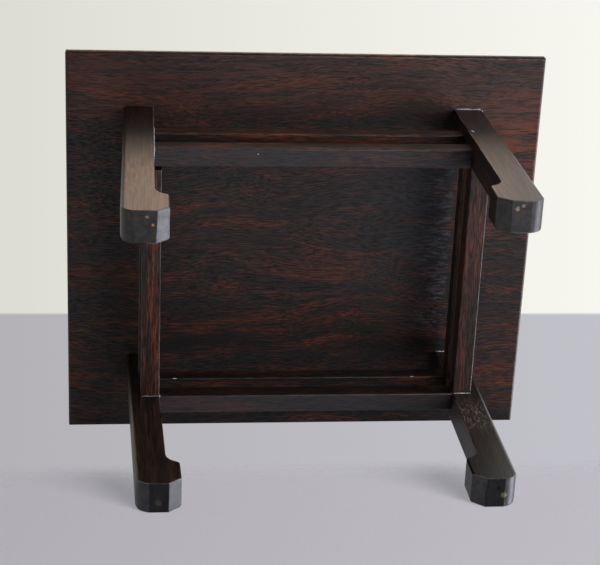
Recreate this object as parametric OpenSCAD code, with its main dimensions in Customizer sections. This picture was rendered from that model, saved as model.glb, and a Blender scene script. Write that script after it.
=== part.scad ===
// Low hardwood stand for a bonsai pot: a moulded tabletop on four hoof-footed legs,
// with two tiers of rails tenoned between the legs.
// The origin is on the floor under the middle of the tabletop, +X along the tabletop's length, +Z up.
// Front is -Y and left is -X.

/* [Tabletop] */
// Length of the tabletop
top_l = 360; // [330:1:420]
// Width of the tabletop
top_w = 305; // [280:1:340]
// Thickness of the tabletop
top_t = 10; // [10:0.5:16]
// Radius of the rounding on the tabletop's lower edge
lower_round = 2.2; // [1:0.1:3]
// Radius of the moulding that rolls over from the edge to the top surface
upper_round = 6.4; // [3:0.1:6.5]
// Radius of the tabletop's corners, seen from above
corner_round = 2; // [1:0.5:6]

/* [Legs] */
// Height from the floor to the underside of the tabletop
leg_h = 213; // [195:1:240]
// Side of a leg's square section
leg_s = 22; // [20:0.5:25]
// Distance from the end of the tabletop in to a leg's outer face, measured at the top of the leg
leg_inset_x = 45.8; // [38:0.1:52]
// Distance from the long edge of the tabletop in to a leg's outer face
leg_inset_y = 41; // [34:0.5:48]
// Distance that each foot stands in from straight below the top of its leg, along the length
toe_in = 3; // [0:0.1:8]
// Rounding of a leg's two outer long edges
leg_round = 2.5; // [1:0.5:5]

/* [Hoof feet] */
// Distance that the toe reaches in past the leg's inner face
toe_l = 9.4; // [6:0.1:13]
// Downward slope of the toe's top, in degrees
toe_slope = 33; // [25:1:45]
// Rounding between the toe's top and its tip
tip_round = 1.5; // [1:0.1:2.5]
// Height of the slanted facet under the toe's tip
toe_facet_h = 7.5; // [5:0.5:10]
// Length of the slanted facet under the toe's tip
toe_facet_l = 8.8; // [6:0.1:11]
// Rounding of the tip's two upright edges
toe_round = 1.5; // [1:0.1:3]
// Height at which the hollow above the toe runs out into the leg
hollow_top = 42; // [38:0.5:50]
// Radius of the hollow above the toe
hollow_round = 12; // [10:0.5:15]
// Height of the rounded heel
heel_h = 10.5; // [7:0.5:12]
// Length of the rounded heel
heel_l = 9.2; // [7:0.1:11]
// Radius of the rounded heel
heel_round = 12; // [11:0.5:16]

/* [Leaning front left leg] */
// Distance that the front left foot stands out from its true place, along the length
lean_out = 10.8; // [0:0.1:11]
// Distance that the front left foot stands in from its true place, across the width
lean_in = 7.5; // [0:0.1:9]
// Distance that the top of the front left leg stands out from its true place, along the length
lean_top_out = 3; // [0:0.1:4]

/* [Rails] */
// Open gap between the tabletop and the upper rails
top_gap = 32; // [24:1:40]
// Height of an upper rail
upper_rail_h = 13; // [11:0.5:17]
// Open gap between the upper and the lower rails
rail_gap = 18; // [12:1:26]
// Height of a lower rail
lower_rail_h = 15; // [11:0.5:18]
// Thickness of a rail
rail_t = 13.8; // [13:0.1:17]
// Distance that the upper rails stand further out than the lower ones
upper_rail_out = 1; // [0:0.1:2]
// Rounding of a rail's long edges
rail_round = 0.8; // [0.4:0.1:1.5]

/* [Tenons] */
// Length of a rail's tenon
tenon_l = 6; // [5.5:0.1:6.2]
// Thickness of a rail's tenon
tenon_t = 5; // [3.5:0.1:5.5]
// Distance from a rail's inner face to its tenon, which lets the tenons of two rails pass in one leg
tenon_set = 7; // [6.9:0.1:7.4]
// Shoulder above and below a rail's tenon
tenon_shoulder = 3; // [2:0.1:4]
// Side of the square tenon on top of a leg
leg_tenon_s = 10; // [7:0.5:13]
// Length of the square tenon on top of a leg
leg_tenon_l = 5.5; // [4:0.1:6.5]
// Clearance between a tenon and the walls of its mortise
fit_gap = 0.2; // [0.1:0.05:0.3]

/* [Hidden] */

rosewood_dark = "#3b2018";
rosewood_leg = "#4a2c20";
rosewood_rail = "#5a2f20";

left = -1;
right = 1;
front = -1;
rear = 1;

// Steps along an arc, and the overlap that joins a tenon to its piece
arc_steps = 10;
root = 2;

// Depth that the foot's outline runs below the floor, planed off so that a leaning leg stands flat
sole_trim = 0.8;

// Toe of the hoof, in the leg's own outline: x in from the leg's outer face, y up from the floor
toe_x = leg_s + toe_l;
hollow_turn = 90 - toe_slope;
hollow_centre = [leg_s + hollow_round, hollow_top];
hollow_end = hollow_centre + hollow_round * [cos(180 + hollow_turn), sin(180 + hollow_turn)];
slope_normal = [cos(hollow_turn), sin(hollow_turn)];
tip_x = toe_x - tip_round;
tip_y = (slope_normal * hollow_end - tip_round - slope_normal[0] * tip_x) / slope_normal[1];

// Middle of a leg's top, and the planes of the legs' inner faces towards the long sides
leg_top_x = top_l / 2 - leg_inset_x - leg_s / 2;
leg_top_y = top_w / 2 - leg_inset_y - leg_s / 2;
leg_face_y = leg_top_y - leg_s / 2;

// A tier of rails is [height of its underside, height of the rail, shift outward]
upper_z = leg_h - top_gap - upper_rail_h;
lower_z = upper_z - rail_gap - lower_rail_h;
upper = [upper_z, upper_rail_h, upper_rail_out];
lower = [lower_z, lower_rail_h, 0];

// Distance from the middle of the stand to the legs' inner faces along the length, at height z
function leg_face_x(z) = leg_top_x - leg_s / 2 - toe_in * (leg_h - z) / leg_h;
side_rail_x = leg_face_x(lower_z + lower_rail_h / 2);

// How far a leg stands off its true place: [foot outward, foot inward across the width, top outward].
// Only the front left leg was set leaning
function lean(side, end) = side == left && end == front ? [lean_out, lean_in, lean_top_out] : [0, 0, 0];

// Distance from the middle of the stand to a leg's inner face along the length, at height z
function inner_face_x(side, end, z) =
    let (off = lean(side, end))
    leg_face_x(z) + off[2] + (off[0] - off[2]) * (leg_h - z) / leg_h;

function arc(centre, r, from, to) =
    [for (i = [0:arc_steps]) let (a = from + (to - from) * i / arc_steps) centre + r * [cos(a), sin(a)]];

// Arc of radius r from point p to point q, bulging to the right of the way from p to q
function arc_between(p, q, r) =
    let (way = q - p,
         rise = sqrt(r * r - way * way / 4),
         centre = (p + q) / 2 + rise * [-way[1], way[0]] / norm(way),
         from = atan2(p[1] - centre[1], p[0] - centre[0]),
         to = atan2(q[1] - centre[1], q[0] - centre[0]))
    arc(centre, r, from, to < from ? to + 360 : to);

// Rectangle from [0, 0] to size, with the radius r0 on its corners at x = 0 and r1 on the others
function rounded(size, r0, r1) = concat(
    arc([r0, size[1] - r0], r0, 90, 180),
    arc([r0, r0], r0, 180, 270),
    arc([size[0] - r1, r1], r1, 270, 360),
    arc([size[0] - r1, size[1] - r1], r1, 0, 90));

function leg_outline() = concat(
    [[0, leg_h + 2 * sole_trim]],
    arc_between([0, heel_h], [heel_l, 0], heel_round),
    [[heel_l, -sole_trim], [toe_x - toe_facet_l, -sole_trim], [toe_x - toe_facet_l, 0]],
    [[toe_x, toe_facet_h]],
    arc([tip_x, tip_y], tip_round, 0, hollow_turn),
    arc(hollow_centre, hollow_round, 180 + hollow_turn, 180),
    [[leg_s, leg_h + 2 * sole_trim]]);

// The tabletop's section between two moulded edges, each half away from its middle
function board_outline(half) =
    let (edge = concat(arc([half - lower_round, lower_round], lower_round, 270, 360),
                       arc([half - upper_round, top_t - upper_round], upper_round, 0, 90)))
    concat(edge, [for (i = [len(edge) - 1 : -1 : 0]) [-edge[i][0], edge[i][1]]]);

// Flips what is drawn on the left of the stand over to the given side
module to_side(side) {
    if (side == left) children();
    else mirror([1, 0, 0]) children();
}

// Flips what is drawn at the rear of the stand over to the given end
module to_end(end) {
    if (end == rear) children();
    else mirror([0, 1, 0]) children();
}

// Stands what is drawn with a leg's outer face at x = 0 and its middle at y = 0 in a leg's place,
// turned so that it runs from the leg's foot to its top
module at_leg(side, end) {
    off = lean(side, end);
    foot_x = -leg_top_x - leg_s / 2 + toe_in - off[0];
    foot_y = end * leg_top_y + off[1];
    turn_x = atan((off[0] - toe_in - off[2]) / leg_h);
    turn_y = atan(off[1] / leg_h);
    to_side(side) translate([foot_x, foot_y, 0]) rotate([turn_y, turn_x, 0]) children();
}

module leg_tenon(side, end, gap) {
    tenon = leg_tenon_s + 2 * gap;
    top_x = leg_top_x + lean(side, end)[2];
    translate([side * top_x - tenon / 2, end * leg_top_y - tenon / 2, leg_h - root])
        cube([tenon, tenon, root + leg_tenon_l + gap]);
}

// The blank before its ends are planed level: the hoof outline sawn through a stave with rounded edges
module leg_blank() {
    intersection() {
        rotate([90, 0, 0]) linear_extrude(leg_s, center = true) polygon(leg_outline());
        translate([0, -leg_s / 2, -sole_trim]) linear_extrude(leg_h + 3 * sole_trim)
            polygon(rounded([toe_x, leg_s], leg_round, toe_round));
    }
}

module leg(side, end) {
    color(rosewood_leg) {
        difference() {
            intersection() {
                at_leg(side, end) leg_blank();
                translate([-top_l / 2, -top_w / 2, 0]) cube([top_l, top_w, leg_h]);
            }
            for (tier = [upper, lower]) {
                long_tenon(end, tier, fit_gap);
                short_tenon(side, tier, fit_gap);
            }
        }
        leg_tenon(side, end, 0);
    }
}

// The tabletop's section run along Y for the given length
module board_run(half, run) {
    rotate([90, 0, 0]) linear_extrude(run, center = true) polygon(board_outline(half));
}

module tabletop() {
    color(rosewood_dark) difference() {
        translate([0, 0, leg_h]) intersection() {
            board_run(top_l / 2, top_w);
            rotate([0, 0, 90]) board_run(top_w / 2, top_l);
            translate([-top_l / 2, -top_w / 2, 0]) linear_extrude(top_t)
                polygon(rounded([top_l, top_w], corner_round, corner_round));
        }
        for (side = [left, right], end = [front, rear]) leg_tenon(side, end, fit_gap);
    }
}

// Bar of a rail's section along X, with its inner face at y = inner
module bar(inner, tier, length) {
    translate([-length / 2, inner + tier[2], tier[0]]) rotate([90, 0, 90]) linear_extrude(length)
        polygon(rounded([rail_t, tier[1]], rail_round, rail_round));
}

// Both tenons of a rail along X as one bar from -low to high, grown by gap where it cuts the mortises
module tenons(inner, tier, low, high, gap) {
    size = [low + high + 2 * gap, tenon_t + 2 * gap, tier[1] - 2 * tenon_shoulder + 2 * gap];
    translate([-low - gap, inner + tier[2] + tenon_set - gap, tier[0] + tenon_shoulder - gap]) cube(size);
}

module long_tenon(end, tier, gap) {
    z = tier[0] + tier[1] / 2;
    to_end(end) tenons(leg_face_y, tier, inner_face_x(left, end, z) + tenon_l,
                       inner_face_x(right, end, z) + tenon_l, gap);
}

module short_tenon(side, tier, gap) {
    reach = leg_face_y + tenon_l;
    to_side(side) rotate([0, 0, 90]) tenons(side_rail_x, tier, reach, reach, gap);
}

// Front or rear rail: its shoulders are cut to the legs' inner faces
module long_rail(end, tier) {
    color(rosewood_rail) {
        difference() {
            to_end(end) bar(leg_face_y, tier, 2 * leg_top_x);
            for (side = [left, right])
                at_leg(side, end) translate([0, -leg_s, 0]) cube([leg_s, 2 * leg_s, leg_h]);
        }
        long_tenon(end, tier, 0);
    }
}

// Left or right rail: its shoulders also give way to the leaning leg where that leans in on them
module short_rail(side, tier) {
    color(rosewood_rail) {
        difference() {
            to_side(side) rotate([0, 0, 90]) bar(side_rail_x, tier, 2 * leg_face_y);
            if (lean(side, front)[1] > 0)
                at_leg(side, front) translate([-leg_s, -leg_s / 2, 0]) cube([3 * leg_s, leg_s, leg_h]);
        }
        short_tenon(side, tier, 0);
    }
}

tabletop();
leg(left, front);  // leg_front_left
leg(right, front);  // leg_front_right
leg(left, rear);  // leg_rear_left
leg(right, rear);  // leg_rear_right
long_rail(front, upper);  // upper_rail_front
long_rail(rear, upper);  // upper_rail_rear
short_rail(left, upper);  // upper_rail_left
short_rail(right, upper);  // upper_rail_right
long_rail(front, lower);  // lower_rail_front
long_rail(rear, lower);  // lower_rail_rear
short_rail(left, lower);  // lower_rail_left
short_rail(right, lower);  // lower_rail_right
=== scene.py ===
import math

import bmesh
import bpy
from mathutils import Euler, Matrix, Vector, noise


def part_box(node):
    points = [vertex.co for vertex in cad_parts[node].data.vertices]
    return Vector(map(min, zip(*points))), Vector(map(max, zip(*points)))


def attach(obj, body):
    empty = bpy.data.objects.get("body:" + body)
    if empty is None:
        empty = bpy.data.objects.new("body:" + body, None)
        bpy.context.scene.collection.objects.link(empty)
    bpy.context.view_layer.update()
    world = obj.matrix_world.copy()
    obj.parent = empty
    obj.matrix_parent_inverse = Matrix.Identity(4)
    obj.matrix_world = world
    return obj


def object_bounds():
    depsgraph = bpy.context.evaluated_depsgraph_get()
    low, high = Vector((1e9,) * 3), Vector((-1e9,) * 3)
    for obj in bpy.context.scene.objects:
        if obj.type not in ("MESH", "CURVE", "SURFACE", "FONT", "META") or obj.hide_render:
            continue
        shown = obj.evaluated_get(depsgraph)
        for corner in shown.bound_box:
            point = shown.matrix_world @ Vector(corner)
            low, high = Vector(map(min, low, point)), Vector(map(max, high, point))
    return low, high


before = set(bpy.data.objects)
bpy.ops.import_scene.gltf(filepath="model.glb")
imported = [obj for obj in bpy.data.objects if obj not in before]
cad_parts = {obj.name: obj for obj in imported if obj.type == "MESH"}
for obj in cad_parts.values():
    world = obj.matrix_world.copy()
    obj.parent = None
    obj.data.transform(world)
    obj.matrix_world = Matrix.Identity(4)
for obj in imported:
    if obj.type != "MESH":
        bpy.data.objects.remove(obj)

# Looks of a low hardwood stand for a bonsai pot: dark rosewood, oiled and rubbed to a satin.
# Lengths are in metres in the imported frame: +X along the tabletop, +Z up, front at -Y, left at -X.

cad_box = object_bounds()

MM = 0.001


# Places on the stand

BOARD_LOW, BOARD_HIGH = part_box("tabletop")
UNDERSIDE = BOARD_LOW.z

# Front and rear of the panel that the upper rails enclose under the tabletop
PANEL_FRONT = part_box("upper_rail_front")[1].y
PANEL_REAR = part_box("upper_rail_rear")[0].y

# The rear right leg's front face
REAR_LEG_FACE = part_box("leg_rear_right")[0].y


# Nodes

TIMES_PLUS = {"operation": "MULTIPLY_ADD"}
PLUS = {"operation": "ADD", "use_clamp": True}
LARGER = {"operation": "MAXIMUM"}
DOT = {"operation": "DOT_PRODUCT"}
DISTANCE = {"operation": "DISTANCE"}
SMOOTH = {"interpolation_type": "SMOOTHSTEP"}
DARKEN = {"blend_type": "MULTIPLY"}


def linear(code):
    """An sRGB hex colour as the linear colour that the shaders take."""
    levels = [int(code[i:i + 2], 16) / 255 for i in (1, 3, 5)]
    return [c / 12.92 if c <= 0.04045 else ((c + 0.055) / 1.055) ** 2.4 for c in levels] + [1.0]


def grey(level):
    """A linear grey."""
    return (level, level, level, 1.0)


def per_mm(*sizes):
    """Pattern scale that gives one cell the sizes in millimetres along X, Y and Z."""
    return [1 / (size * MM) for size in sizes]


def add(tree, kind, settings=None, stops=(), **inputs):
    """Adds a node, sets its properties and colour stops, and sets or links its inputs.

    An input goes by its name, or by its number as _0, _1. A node that is given as an input stands for its
    first output.
    """
    made = tree.nodes.new("ShaderNode" + kind)
    for name, value in (settings or {}).items():
        setattr(made, name, value)
    for place, colour in stops:
        made.color_ramp.elements.new(place).color = colour
    if stops:
        # The two stops that a new ramp has at its ends
        made.color_ramp.elements.remove(made.color_ramp.elements[0])
        made.color_ramp.elements.remove(made.color_ramp.elements[-1])
    for name, value in inputs.items():
        key = int(name[1:]) if name[1:].isdigit() else name.replace("_", " ")
        if isinstance(value, bpy.types.Node):
            value = value.outputs[0]
        if isinstance(value, bpy.types.NodeSocket):
            tree.links.new(value, made.inputs[key])
        else:
            made.inputs[key].default_value = value
    return made


def new_material(name):
    """A material without nodes, and its tree."""
    material = bpy.data.materials.new(name)
    material.use_nodes = True
    material.node_tree.nodes.clear()
    return material, material.node_tree


def kept_within(tree, limits, strength=1.0):
    """A mask that has the strength inside all limits.

    Each limit is a value, with where on it the mask begins and where the mask is full.
    """
    mask = strength
    for value, none, full in limits:
        mask = add(tree, "MapRange", SMOOTH, Value=value, From_Min=none, From_Max=full, To_Max=mask)
    return mask


def facing(tree, axis, none=-0.5, full=-0.9):
    """Limit that lets in what faces the low side of an axis: the floor for Z, the front for Y."""
    normal = add(tree, "SeparateXYZ", Vector=add(tree, "NewGeometry").outputs["Normal"])
    return normal.outputs[axis], none, full


# Rosewood

# Colours from the darkest growth layers to the palest, and where each lies on the figure
BOARD_TONES = ("#080606", "#1d110f", "#3a1c11", "#5e2c14")
RAIL_TONES = ("#0b0806", "#27150f", "#4b2511", "#723513")
QUIET_TONES = ("#180f0c", "#2f1811", "#4a2418", "#5f3020")
STRIPED_TONES = ("#0a0706", "#3a1c10", "#6b351c", "#8a4a28")
LEG_TONES = ("#0f0a09", "#1c1210", "#2d1d18", "#432a20")
TONE_STOPS = (0.42, 0.48, 0.53, 0.60)

# Charcoal of the feet's end grain, with its dark and its pale stains. The rear pair is paler, which is
# painted light of the cloth that the rear soles face.
FRONT_FOOT_TONES = ("#111112", "#323132")
REAR_FOOT_LIT_TONES = ("#252527", "#3b3b40")
STAIN_STOPS = (0.35, 0.65)

# Turn that lays a piece's grain along the pattern's own X
GRAIN_ALONG_X = (0.0, 0.0, 0.0)
GRAIN_ALONG_Y = (0.0, 0.0, math.radians(90))
GRAIN_ALONG_Z = (0.0, math.radians(90), 0.0)

# Step of the pattern from one piece to the next, so that no two show the same figure
NEXT_PIECE = Vector((0.37, 0.21, 0.13))

# How far the grain sways to the side in the wide board and in a narrow stick, and how far it ripples
BOARD_SWAY = 38 * MM
STICK_SWAY = 8 * MM
RIPPLE = 2.6 * MM

# Sizes of patterns in millimetres, along and across the grain
SWAY_SIZE = (130, 70, 70)
RIPPLE_SIZE = (55, 24, 24)
# The figure's zones, bands and fibres: each one's size, its share, and the detail and roughness of its noise
ZONES = ((120, 30, 30), 0.20, 1.0, 0.5)
BANDS = ((110, 8.5, 8.5), 0.42, 5.0, 0.65)
FIBRES = ((34, 1.1, 1.1), 0.38, 3.0, 0.5)
# A pore is about 0.2 mm wide, and is drawn at 0.8 or 1 mm so that it shows
PORE = (9, 0.8, 0.8)
LEG_PORE = (45, 1.0, 1.0)
PORE_DEPTH = 0.08 * MM
OPEN_PORES = 1.0
FILLED_PORES = 0.35

# Oiled wood between its pores, and how much rougher and duller an open pore is
OILED_ROUGHNESS = 0.32
PORE_ROUGHENS = 0.16
OILED_SHINE = 0.58
PORE_DULLS = 0.26

# Width of the rounding that the shading gives an arris, and of the pale line along it: partly polish rubbed
# off, partly a painted highlight
ARRIS = 1.3 * MM

# Where the painted shade, and the bloom with its painted sheen, under the tabletop begin and where they are
# full, from each side that they fade out to
PATCH_RIGHT = (BOARD_HIGH.x - 62 * MM, BOARD_HIGH.x - 66 * MM)
PATCH_FRONT = (PANEL_FRONT - 7.5 * MM, PANEL_FRONT + 5.5 * MM)
SHADE_LEFT = (BOARD_HIGH.x - 170 * MM, BOARD_HIGH.x - 90 * MM)
SHADE_REAR = (PANEL_REAR - 30.5 * MM, PANEL_REAR - 80.5 * MM)
BLOOM_SHEEN_LEFT = (BOARD_HIGH.x - 102 * MM, BOARD_HIGH.x - 68 * MM)
BLOOM_SHEEN_REAR = (PANEL_REAR - 5.5 * MM, PANEL_REAR - 35.5 * MM)

# The redder wood: its middle at the right end, and how far from there it begins and is full; and where the
# lighter band along the front edge, painted light on the margin that the rails don't shade, begins and is
# full
RED_END = (BOARD_HIGH.x - 12 * MM, PANEL_FRONT + 5.5 * MM, UNDERSIDE)
RED_REACH = (55 * MM, 12 * MM)
LIT_MARGIN_FRONT = (PANEL_FRONT - 9.5 * MM, PANEL_FRONT - 37.5 * MM)

# Middle and radius of the knot, and middle and reach of the scratches
KNOT = (13.2 * MM, -2.6 * MM, UNDERSIDE), 2.4 * MM
SCRATCHES = (123 * MM, REAR_LEG_FACE, 98 * MM), 32 * MM


def grain_place(tree, turn, seed, sway):
    """Coordinates along the grain, which sways to the side over a hand's length and ripples on the way."""
    place = add(tree, "TexCoord").outputs["Object"]
    along = add(tree, "Mapping", Vector=place, Rotation=turn, Location=seed * NEXT_PIECE)
    for size, reach in ((SWAY_SIZE, sway), (RIPPLE_SIZE, RIPPLE)):
        sized = add(tree, "Mapping", Vector=along, Scale=per_mm(*size))
        aside = add(tree, "TexNoise", Vector=sized, Scale=1.0, Detail=1.0).outputs["Color"]
        along = add(tree, "VectorMath", TIMES_PLUS, _0=aside, _1=(0.0, reach, reach), _2=along)
    return along


def wood_colour(tree, place, tones):
    """Growth layers from black to red-brown, frayed into fibres and gathered in darker and redder zones."""
    figure = 0.0
    for size, share, detail, roughness in (ZONES, BANDS, FIBRES):
        sized = add(tree, "Mapping", Vector=place, Scale=per_mm(*size))
        layers = add(tree, "TexNoise", Vector=sized, Scale=1.0, Detail=detail, Roughness=roughness)
        figure = add(tree, "Math", TIMES_PLUS, _0=layers, _1=share, _2=figure)
    return add(tree, "ValToRGB", stops=list(zip(TONE_STOPS, map(linear, tones))), Fac=figure)


def rosewood(name, turn, seed, tones, sway=STICK_SWAY, pore=PORE, openness=OPEN_PORES, details=()):
    """Rosewood, planed and oiled: near-black with thin red-brown streaks, a soft gloss and fine pores."""
    material, tree = new_material(name)
    place = grain_place(tree, turn, seed, sway)
    sized = add(tree, "Mapping", Vector=place, Scale=per_mm(*pore))
    pores = add(tree, "TexNoise", Vector=sized, Scale=1.0, Detail=2.0, Roughness=0.55)
    darkening = add(tree, "ValToRGB", stops=[(0.40, grey(0.2)), (0.54, grey(1.0))], Fac=pores)
    colour = add(tree, "MixRGB", DARKEN, Fac=1.0, Color1=wood_colour(tree, place, tones), Color2=darkening)
    roughness = add(tree, "MapRange", Value=pores, From_Min=0.35, From_Max=0.65,
                    To_Min=OILED_ROUGHNESS + PORE_ROUGHENS * openness, To_Max=OILED_ROUGHNESS)
    for detail in details:
        colour, roughness = detail(tree, colour, roughness)
    arris = add(tree, "Bevel", {"samples": 8}, Radius=ARRIS)
    # Pale line along the arrises: partly polish rubbed off, partly a painted highlight
    colour = add(tree, "MixRGB", Fac=rubbed_and_highlit_arris(tree, arris), Color1=colour, Color2=linear("#8a8184"))
    bump = add(tree, "Bump", Strength=0.5 * openness, Distance=PORE_DEPTH, Height=pores, Normal=arris)
    shine = add(tree, "MapRange", Value=pores, From_Min=0.38, From_Max=0.60,
                To_Min=OILED_SHINE - PORE_DULLS * openness, To_Max=OILED_SHINE)
    wood = add(tree, "BsdfPrincipled", Base_Color=colour, Roughness=roughness, IOR=1.5,
               Specular_IOR_Level=shine, Normal=bump)
    add(tree, "OutputMaterial", Surface=wood)
    return material


def rubbed_and_highlit_arris(tree, arris):
    """Mask of the pale line along an arris, in lengths of a few centimetres: partly polish rubbed off,
    partly a painted highlight.
    """
    flat = add(tree, "NewGeometry").outputs["True Normal"]
    agree = add(tree, "VectorMath", DOT, _0=arris, _1=flat).outputs["Value"]
    sized = add(tree, "Mapping", Vector=add(tree, "TexCoord").outputs["Object"], Scale=per_mm(22, 22, 22))
    lengths = add(tree, "TexNoise", Vector=sized, Scale=1.0, Detail=3.0)
    return kept_within(tree, [(agree, 0.99, 0.90), (lengths, 0.40, 0.60)], 0.8)


def near_point(tree, centre, radius):
    """Mask of a ragged spot round a point."""
    place = add(tree, "TexCoord").outputs["Object"]
    far = add(tree, "VectorMath", DISTANCE, _0=place, _1=centre).outputs["Value"]
    sized = add(tree, "Mapping", Vector=place, Scale=per_mm(1.2, 1.2, 1.2))
    ragged = add(tree, "TexNoise", Vector=sized, Scale=1.0, Detail=2.0)
    # The noise is about a half, so it moves the spot's edge out by 0.8 of the radius on average
    spread = add(tree, "Math", TIMES_PLUS, _0=ragged, _1=-1.6 * radius, _2=far)
    return kept_within(tree, [(spread, 0.3 * radius, -0.1 * radius)])


def worn_foot(tones, chips):
    """End grain of the foot's sole, heel and toe: stained charcoal, with pale chips on the sole."""
    def detail(tree, colour, roughness):
        foot = kept_within(tree, [facing(tree, "Z", -0.2, -0.35)])
        sized = add(tree, "Mapping", Vector=add(tree, "TexCoord").outputs["Object"], Scale=per_mm(5, 5, 5))
        stain = add(tree, "TexNoise", Vector=sized, Scale=1.0, Detail=3.0)
        charcoal = add(tree, "ValToRGB", stops=list(zip(STAIN_STOPS, map(linear, tones))), Fac=stain)
        colour = add(tree, "MixRGB", Fac=foot, Color1=colour, Color2=charcoal)
        for centre, radius, code in chips:
            chip = near_point(tree, centre, radius)
            colour = add(tree, "MixRGB", Fac=chip, Color1=colour, Color2=linear(code))
            roughness = add(tree, "Math", PLUS, _0=roughness, _1=chip)
        return colour, roughness
    return detail


def scuffed(centre, reach):
    """Fine pale scratches that cross a patch of the leg's front."""
    def detail(tree, colour, roughness):
        place = add(tree, "TexCoord").outputs["Object"]
        far = add(tree, "VectorMath", DISTANCE, _0=place, _1=centre).outputs["Value"]
        sized = add(tree, "Mapping", Vector=place, Scale=per_mm(0.9, 3, 5))
        lines = add(tree, "TexNoise", Vector=sized, Scale=1.0, Detail=3.0, Roughness=0.7)
        limits = [(far, reach, 0.4 * reach), (lines, 0.53, 0.62), facing(tree, "Y")]
        scratches = kept_within(tree, limits, 0.5)
        colour = add(tree, "MixRGB", Fac=scratches, Color1=colour, Color2=linear("#a09698"))
        return colour, add(tree, "Math", TIMES_PLUS, _0=scratches, _1=0.3, _2=roughness)
    return detail


def knot(tree, colour, roughness):
    """A pin knot in the middle of the tabletop."""
    spot = near_point(tree, *KNOT)
    return add(tree, "MixRGB", Fac=spot, Color1=colour, Color2=linear("#050404")), roughness


def red_wood_and_lit_margin(tree, colour, roughness):
    """Redder wood at the tabletop's right end, and a lighter red band along its front edge that is painted
    light on the margin which the rails don't shade; both crossed by dark lines.
    """
    place = add(tree, "TexCoord").outputs["Object"]
    sized = add(tree, "Mapping", Vector=place, Scale=per_mm(30, 2, 6))
    lines = add(tree, "TexNoise", Vector=sized, Scale=1.0, Detail=4.0, Roughness=0.6)
    across = add(tree, "SeparateXYZ", Vector=place).outputs["Y"]
    far = add(tree, "VectorMath", DISTANCE, _0=place, _1=RED_END).outputs["Value"]
    # Painted light: the front margin, which the rails don't shade, is lightened
    lit_front_margin = ((across, *LIT_MARGIN_FRONT), 0.45, "#54291a")
    right_end = ((far, *RED_REACH), 0.85, "#69331c")
    for stretch, strength, code in (lit_front_margin, right_end):
        mask = kept_within(tree, [stretch, (lines, 0.42, 0.56)], strength)
        colour = add(tree, "MixRGB", Fac=mask, Color1=colour, Color2=linear(code))
    return colour, roughness


def under_board(tree, place, left, rear):
    """Limits of a patch under the tabletop, with where it fades out to the left and the rear."""
    axes = add(tree, "SeparateXYZ", Vector=place).outputs
    return [facing(tree, "Z"), (axes["X"], *left), (axes["X"], *PATCH_RIGHT), (axes["Y"], *rear),
            (axes["Y"], *PATCH_FRONT)]


def panel_shade(tree, colour, roughness):
    """Painted shade over the right half of the panel, where the right rails shade it: a dull blue-grey that
    hides the red.
    """
    place = add(tree, "TexCoord").outputs["Object"]
    sized = add(tree, "Mapping", Vector=place, Scale=per_mm(34, 16, 30))
    patches = add(tree, "TexNoise", Vector=sized, Scale=1.0, Detail=3.0)
    limits = under_board(tree, place, SHADE_LEFT, SHADE_REAR) + [(patches, 0.30, 0.56)]
    # Painted shade of the right rails over the panel
    painted_grey = kept_within(tree, limits, 0.8)
    return add(tree, "MixRGB", Fac=painted_grey, Color1=colour, Color2=linear("#1b1d23")), roughness


def bloom_and_sheen(tree, colour, roughness):
    """Dull blue-grey beside the right rails, in short rubs along the grain: partly bloom that old polish
    left, partly a painted sheen of the light that comes in under the right rails.
    """
    place = add(tree, "TexCoord").outputs["Object"]
    sized = add(tree, "Mapping", Vector=place, Scale=per_mm(30, 22, 30))
    patches = add(tree, "TexNoise", Vector=sized, Scale=1.0, Detail=1.0)
    sized = add(tree, "Mapping", Vector=place, Scale=per_mm(8, 1.8, 5))
    rubs = add(tree, "TexNoise", Vector=sized, Scale=1.0, Detail=4.0, Roughness=0.7)
    limits = under_board(tree, place, BLOOM_SHEEN_LEFT, BLOOM_SHEEN_REAR) + [(patches, 0.38, 0.55), (rubs, 0.48, 0.60)]
    # Partly polish bloom, partly a painted sheen of the light that comes in under the right rails
    bloom_sheen = kept_within(tree, limits, 0.5)
    colour = add(tree, "MixRGB", Fac=bloom_sheen, Color1=colour, Color2=linear("#62656b"))
    return colour, add(tree, "Math", TIMES_PLUS, _0=bloom_sheen, _1=0.2, _2=roughness)


def film_and_sheen_below(tree, colour, roughness):
    """Thin grey on the rail's floor side, which faces the near window: partly a film of old polish, partly a
    painted sheen.
    """
    painted_grey = kept_within(tree, [facing(tree, "Z")], 0.5)
    return add(tree, "MixRGB", Fac=painted_grey, Color1=colour, Color2=linear("#37373c")), roughness


def dress(node, material):
    """Gives a CAD node its finish."""
    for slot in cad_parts[node].material_slots:
        slot.material = material


# Each rail's colours, and what else its finish shows
RAILS = {
    "upper_rail_front": (RAIL_TONES, []),
    "upper_rail_rear": (BOARD_TONES, []),
    # Grey on the floor side of the lower front and rear rails: partly polish film, partly painted sheen
    "lower_rail_front": (RAIL_TONES, [film_and_sheen_below]),
    "lower_rail_rear": (BOARD_TONES, [film_and_sheen_below]),
    "upper_rail_left": (RAIL_TONES, []),
    "upper_rail_right": (RAIL_TONES, []),
    "lower_rail_left": (STRIPED_TONES, []),
    "lower_rail_right": (QUIET_TONES, []),
}

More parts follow.
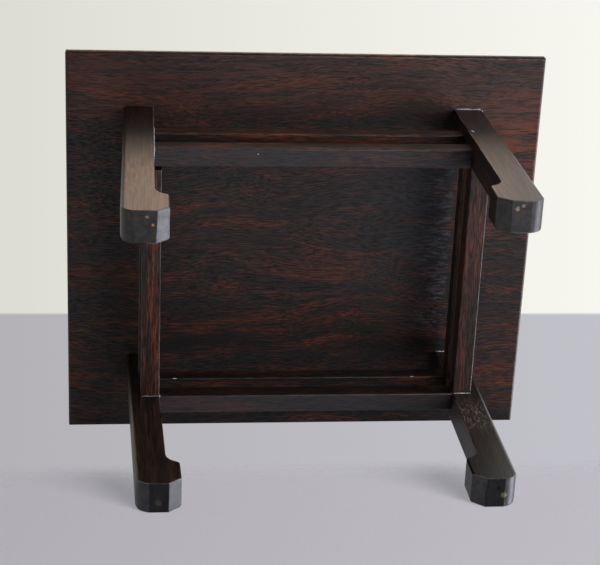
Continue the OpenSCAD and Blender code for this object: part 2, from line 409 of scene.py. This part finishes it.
# Chips on each leg's sole: place, radius and colour, the first ones drawn below the later ones
FOOT_CHIPS = {
    "leg_front_left": [((-0.1251, -0.0997, 0), 1.1 * MM, "#8b8178"),
                       ((-0.1213, -0.0944, 0), 1.0 * MM, "#b98f52")],
    "leg_front_right": [((0.1145, -0.103, 0), 3.2 * MM, "#4c463d"),
                        ((0.1118, -0.106, 0), 1.6 * MM, "#97908a"),
                        ((0.1157, -0.108, 0), 1.3 * MM, "#8b8178")],
    "leg_rear_left": [((-0.116, 0.104, 0), 2.6 * MM, "#6b6458")],
    "leg_rear_right": [((0.1213, 0.1026, 0), 2.2 * MM, "#a0967f"),
                       ((0.1172, 0.0972, 0), 1.4 * MM, "#050505")],
}

# Steps of the pattern at the board, the first rail and the first leg
BOARD_SEED = 1
RAIL_SEED = 2
LEG_SEED = 10

dress("tabletop", rosewood("oiled_rosewood_tabletop", GRAIN_ALONG_X, BOARD_SEED, BOARD_TONES, BOARD_SWAY,
                           details=(red_wood_and_lit_margin, panel_shade, bloom_and_sheen, knot)))
for seed, (rail, (tones, details)) in enumerate(RAILS.items(), RAIL_SEED):
    turn = GRAIN_ALONG_X if rail.endswith(("front", "rear")) else GRAIN_ALONG_Y
    dress(rail, rosewood("oiled_rosewood_" + rail, turn, seed, tones, details=details))
for seed, (leg, chips) in enumerate(FOOT_CHIPS.items(), LEG_SEED):
    # The rear soles get paler charcoal: painted light of the cloth they face
    details = [worn_foot(REAR_FOOT_LIT_TONES if "rear" in leg else FRONT_FOOT_TONES, chips)]
    if leg == "leg_rear_right":
        details.append(scuffed(*SCRATCHES))
    dress(leg, rosewood("oiled_rosewood_" + leg, GRAIN_ALONG_Z, seed, LEG_TONES, pore=LEG_PORE,
                        openness=FILLED_PORES, details=details))


# Dried glue

# Sides of a bead's ring, and the spacing of the lumps along a bead
GLUE_SIDES = 10
LUMP = 1.2 * MM

# Each bead's part, the line that is laid on that part for it, and its thickness, all in millimetres
GLUE = {
    "glue_front_left_rails": ("leg_front_left", [(-113, -104.3, 181), (-113, -103.3, 150),
                                                 (-113, -103.3, 135), (-113, -90.5, 135)], 1.5),
    # Partly glue, partly a painted highlight: a pale bead along the bright line at the leg's top
    "glue_and_highlight_front_right_top": ("leg_front_right", [(112.8, -111.5, 212.8), (131.7, -111.5, 212.8),
                                                 (133.5, -110.7, 212.8), (134.2, -109, 212.8),
                                                 (134.2, -100, 212.8)], 1.4),
    "glue_front_right_chip": ("leg_front_right", [(113.2, -111.5, 156), (115.2, -111.5, 153.5)], 1.6),
    # Partly glue, partly painted highlights: pale beads along the bright lines at the leg's top and at the
    # rail's end
    "glue_and_highlight_rear_right_top": ("leg_rear_right", [(112.4, 89.5, 212.8), (122, 89.5, 212.8)], 1.2),
    "glue_and_highlight_rear_right_rail": ("leg_rear_right", [(111.6, 89.5, 135), (124.8, 89.5, 135)], 1.1),
    # Partly glue, partly a painted highlight: a thin pale bead along the bright line at the rail's end
    "glue_and_highlight_rear_left_rail": ("leg_rear_left", [(-124.5, 89.5, 135), (-111.5, 89.5, 135)], 0.45),
    "glue_rear_left_drop": ("leg_rear_left", [(-110.6, 89.5, 138), (-110.4, 89.5, 134)], 1.6),
    "glue_upper_rail_drop_left": ("upper_rail_rear", [(-100.5, 90.5, 168), (-97, 90.5, 168)], 0.9),
    "glue_upper_rail_drop_right": ("upper_rail_rear", [(84, 90.5, 168), (87, 90.5, 168)], 0.9),
    "glue_front_rail_speck": ("lower_rail_front", [(-44, -99.3, 135), (-43.1, -99.3, 135)], 1.2),
}


def dried_glue():
    """Wood glue that was squeezed out of the joints: milky, bluish white, and glossy where it is thick."""
    material, tree = new_material("dried_wood_glue")
    sized = add(tree, "Mapping", Vector=add(tree, "TexCoord").outputs["Object"], Scale=per_mm(1.5, 1.5, 1.5))
    milk = add(tree, "TexNoise", Vector=sized, Scale=1.0, Detail=2.0)
    colour = add(tree, "ValToRGB", stops=[(0.35, linear("#8f9cb4")), (0.65, linear("#e6ebf5"))], Fac=milk)
    bump = add(tree, "Bump", Strength=0.5, Distance=0.1 * MM, Height=milk)
    skin = add(tree, "BsdfPrincipled", Base_Color=colour, Roughness=0.3, Normal=bump)
    add(tree, "OutputMaterial", Surface=skin)
    return material


def points_along(corners):
    """Points at a lump's spacing on the line through the corners."""
    points = []
    for start, finish in zip(corners, corners[1:]):
        steps = max(2, round((finish - start).length / LUMP))
        points += [start.lerp(finish, step / steps) for step in range(steps)]
    return points + [corners[-1]]


def bead_width(points, number, thickness):
    """Half the thickness, uneven along the bead and small at its ends."""
    lumps = 0.75 + 0.8 * noise.noise(points[number] / LUMP)
    closing = 0.45 if number in (0, len(points) - 1) else 1.0
    return thickness / 2 * lumps * closing


def glue_bead(name, corners, thickness, material):
    """A lumpy bead: a ring drawn along the line, turned with it, and closed at both ends."""
    points = points_along(corners)
    width = bead_width(points, 0, thickness)
    way = points[1] - points[0]
    start = Matrix.Translation(points[0]) @ way.to_track_quat("Z", "X").to_matrix().to_4x4()
    form = bmesh.new()
    bmesh.ops.create_circle(form, segments=GLUE_SIDES, radius=width, matrix=start)
    rim = form.edges[:]
    for number in range(1, len(points)):
        grown = bmesh.ops.extrude_edge_only(form, edges=rim)["geom"]
        ring = {part for part in grown if isinstance(part, bmesh.types.BMVert)}
        rim = [part for part in grown if isinstance(part, bmesh.types.BMEdge) and set(part.verts) <= ring]
        next_way = points[min(number + 1, len(points) - 1)] - points[number - 1]
        next_width = bead_width(points, number, thickness)
        turn = way.rotation_difference(next_way).to_matrix().to_4x4()
        step = (Matrix.Translation(points[number]) @ turn @ Matrix.Scale(next_width / width, 4)
                @ Matrix.Translation(-points[number - 1]))
        bmesh.ops.transform(form, matrix=step, verts=list(ring))
        way = next_way
        width = next_width
    bmesh.ops.holes_fill(form, edges=[edge for edge in form.edges if edge.is_boundary])
    bmesh.ops.recalc_face_normals(form, faces=form.faces)
    for face in form.faces:
        face.smooth = True
    mesh = bpy.data.meshes.new(name)
    form.to_mesh(mesh)
    form.free()
    mesh.materials.append(material)
    piece = bpy.data.objects.new(name, mesh)
    bpy.context.scene.collection.objects.link(piece)
    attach(piece, "root")


glue = dried_glue()
for name, (part, line, thickness) in GLUE.items():
    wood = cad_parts[part]
    corners = [wood.closest_point_on_mesh(Vector(corner) * MM)[1] for corner in line]
    glue_bead(name, corners, thickness * MM, glue)


# The photograph's camera, found from the stand's corners

PHOTO_WIDTH = 600
PHOTO_HEIGHT = 565
FOCAL_PIXELS = 1662.84
MIDDLE_PIXEL = (296.18, 283.29)
# Row where the wall begins behind the table
WALL_PIXEL = 312
CAMERA_PLACE = Vector((-0.15164, -0.44989, -0.98649))
CAMERA_TURN = Euler((0.3809, -0.11479, -0.00151), "XYZ").to_matrix().transposed()
SENSOR = 36.0


# Stage

REACH = 4.0
FLOOR_CORNERS = [(-REACH, -REACH, 0), (REACH, -REACH, 0), (REACH, REACH, 0), (-REACH, REACH, 0)]

# The photograph's table touches the moulding of the tabletop's rear edge and the rear feet's outer sides
EDGE_REST_HEIGHT = UNDERSIDE + 2.5 * MM
FOOT_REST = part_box("leg_rear_left")[1].y
TABLE_SLOPE = (BOARD_HIGH.y - FOOT_REST) / EDGE_REST_HEIGHT

# Heights at which the table begins, starts to fade out and is gone. The last is below a camera that looks
# level at the stand.
TABLE_LOW = -0.6
TABLE_FADE = 0.05
TABLE_HIGH = 0.115
SLAT_RISE = 2 * MM
SLAT_DEPTH = 1.7 * MM

# Lowest and highest place of the table that the wood mirrors
MIRRORED_LOW = -1.5
MIRRORED_HIGH = 0.64


def one_sided(name, code, glow, fade=None):
    """Pale matt cloth, seen from its front only. A fade gives the heights between which it fades out."""
    material, tree = new_material(name)
    place = add(tree, "TexCoord").outputs["Object"]
    sized = add(tree, "Mapping", Vector=place, Scale=per_mm(1.5, 1.5, 1.5))
    weave = add(tree, "TexNoise", Vector=sized, Scale=1.0, Detail=2.0)
    bump = add(tree, "Bump", Strength=0.3, Distance=0.3 * MM, Height=weave)
    cloth = add(tree, "BsdfPrincipled", Base_Color=linear(code), Roughness=1.0, Specular_IOR_Level=0.0,
                Emission_Color=linear(code), Emission_Strength=glow, Normal=bump)
    hidden = add(tree, "NewGeometry").outputs["Backfacing"]
    if fade:
        height = add(tree, "SeparateXYZ", Vector=place).outputs["Z"]
        hidden = add(tree, "Math", LARGER, _0=hidden, _1=kept_within(tree, [(height, *fade)]))
    sheet = add(tree, "MixShader", _0=hidden, _1=cloth, _2=add(tree, "BsdfTransparent"))
    add(tree, "OutputMaterial", Surface=sheet)
    return material


def flat_sheets(name, sheets, material):
    """Flat four-cornered sheets, each facing the side from which its corners run anticlockwise."""
    mesh = bpy.data.meshes.new(name)
    form = bmesh.new()
    for corners in sheets:
        form.faces.new([form.verts.new(corner) for corner in corners])
    form.to_mesh(mesh)
    form.free()
    mesh.materials.append(material)
    sheet = bpy.data.objects.new(name, mesh)
    bpy.context.scene.collection.objects.link(sheet)
    sheet.visible_shadow = False
    sheet.visible_diffuse = False
    return sheet


def on_table(side, height):
    """Point at a height on the table's left end, where side is -1, or on its right end, where it is 1."""
    return Vector((side * REACH, FOOT_REST + TABLE_SLOPE * height, height))


def slat(height):
    """Corners of a level slat of the table, in the order that makes it face down."""
    left = on_table(-1, height)
    right = on_table(1, height)
    depth = Vector((0, SLAT_DEPTH, 0))
    return [left, left + depth, right + depth, right]


# The photograph shows the stand without this floor, so the wood doesn't mirror it
floor = flat_sheets("floor", [FLOOR_CORNERS], one_sided("pale_floor", "#d8d4d0", glow=0.0))
floor.visible_glossy = False

# The photograph's table is built of slats that face down, so that a camera above the floor looks through it.
# The wood mirrors a plain sheet in the same place instead.
slats = [slat(TABLE_LOW + step * SLAT_RISE) for step in range(round((TABLE_HIGH - TABLE_LOW) / SLAT_RISE))]
table_cloth = one_sided("pale_cloth", "#bebec4", glow=0.36, fade=(TABLE_FADE, TABLE_HIGH))
table = flat_sheets("table", slats, table_cloth)
table.visible_glossy = False

table_corners = [on_table(-1, MIRRORED_LOW), on_table(1, MIRRORED_LOW), on_table(1, MIRRORED_HIGH),
                 on_table(-1, MIRRORED_HIGH)]
mirrored = flat_sheets("mirrored_table", [table_corners], one_sided("mirrored_cloth", "#bcbdc6", glow=0.2))
mirrored.visible_camera = False


# Room

def pale_room():
    """A pale wall that brightens to the right, a dark floor far below, and the table's far part overhead."""
    world = bpy.data.worlds.new("pale_room")
    world.use_nodes = True
    tree = world.node_tree
    tree.nodes.clear()
    outward = add(tree, "TexCoord").outputs["Generated"]
    way = add(tree, "SeparateXYZ", Vector=outward).outputs
    # These rise from 0 to 1, the one from left to right and the other from below up to the horizon
    rightward = add(tree, "MapRange", Value=way["X"], From_Min=-0.35, From_Max=0.35)
    upward = add(tree, "MapRange", Value=way["Z"], From_Min=-0.35, From_Max=-0.02)
    wall = add(tree, "MixRGB", Fac=rightward, Color1=linear("#c4c2b6"), Color2=linear("#fbfbf4"))
    cloth = add(tree, "MixRGB", Fac=rightward, Color1=linear("#a8a4a5"), Color2=linear("#c3c3cb"))
    # Far part of the table, which is overhead and shows below the row where the wall begins
    wall_slope = (WALL_PIXEL - MIDDLE_PIXEL[1]) / FOCAL_PIXELS
    table_side = CAMERA_TURN @ Vector((0, 1, -wall_slope))
    below_wall = add(tree, "VectorMath", DOT, _0=outward, _1=table_side).outputs["Value"]
    far_table = kept_within(tree, [(below_wall, 0.0, 0.002), (way["Z"], 0.6, 0.7)])
    wall = add(tree, "MixRGB", Fac=far_table, Color1=wall, Color2=cloth)
    room = add(tree, "MixRGB", Fac=upward, Color1=linear("#2c2d30"), Color2=wall)
    add(tree, "OutputWorld", Surface=add(tree, "Background", Color=room, Strength=1.0))
    return world


bpy.context.scene.world = pale_room()


# Light

MIDDLE = (cad_box[0] + cad_box[1]) / 2
LIGHT_DISTANCE = 1.8


def softbox(name, way, width, height, radiance, code):
    """A soft light in a direction from the stand, turned to it."""
    light = bpy.data.lights.new(name, "AREA")
    light.shape = "RECTANGLE"
    light.size = width
    light.size_y = height
    light.energy = radiance * math.pi * width * height
    light.color = linear(code)[:3]
    lamp = bpy.data.objects.new(name, light)
    bpy.context.scene.collection.objects.link(lamp)
    lamp.location = MIDDLE + LIGHT_DISTANCE * Vector(way).normalized()
    lamp.rotation_euler = (-Vector(way)).to_track_quat("-Z", "Y").to_euler()
    lamp.visible_camera = False


softbox("daylight_above", (0.10, -0.47, 0.88), width=0.6, height=0.6, radiance=2.6, code="#ffc8a2")
softbox("window_right", (0.93, 0.36, -0.08), width=0.4, height=0.6, radiance=35.0, code="#f0f2ff")
softbox("window_near", (0.46, -0.26, -0.85), width=1.1, height=1.1, radiance=5.4, code="#f8f1f2")
softbox("warm_left", (-0.95, 0.10, -0.20), width=1.0, height=1.0, radiance=0.3, code="#ffd2a0")
softbox("daylight_rear", (-0.35, 0.85, 0.40), width=1.2, height=1.2, radiance=2.5, code="#ffffff")


# Camera

lens = bpy.data.cameras.new("photograph")
lens.sensor_width = SENSOR
lens.lens = FOCAL_PIXELS / PHOTO_WIDTH * SENSOR
lens.shift_x = (PHOTO_WIDTH / 2 - MIDDLE_PIXEL[0]) / PHOTO_WIDTH
lens.shift_y = (MIDDLE_PIXEL[1] - PHOTO_HEIGHT / 2) / PHOTO_WIDTH
camera = bpy.data.objects.new("photograph", lens)
bpy.context.scene.collection.objects.link(camera)
# The fitted camera has Y down and looks along +Z, and Blender's has Y up and looks along -Z
blender_turn = CAMERA_TURN @ Matrix.Diagonal((1, -1, -1))
camera.matrix_world = Matrix.Translation(CAMERA_PLACE) @ blender_turn.to_4x4()
bpy.context.scene.camera = camera
bpy.context.scene.view_settings.view_transform = "Standard"
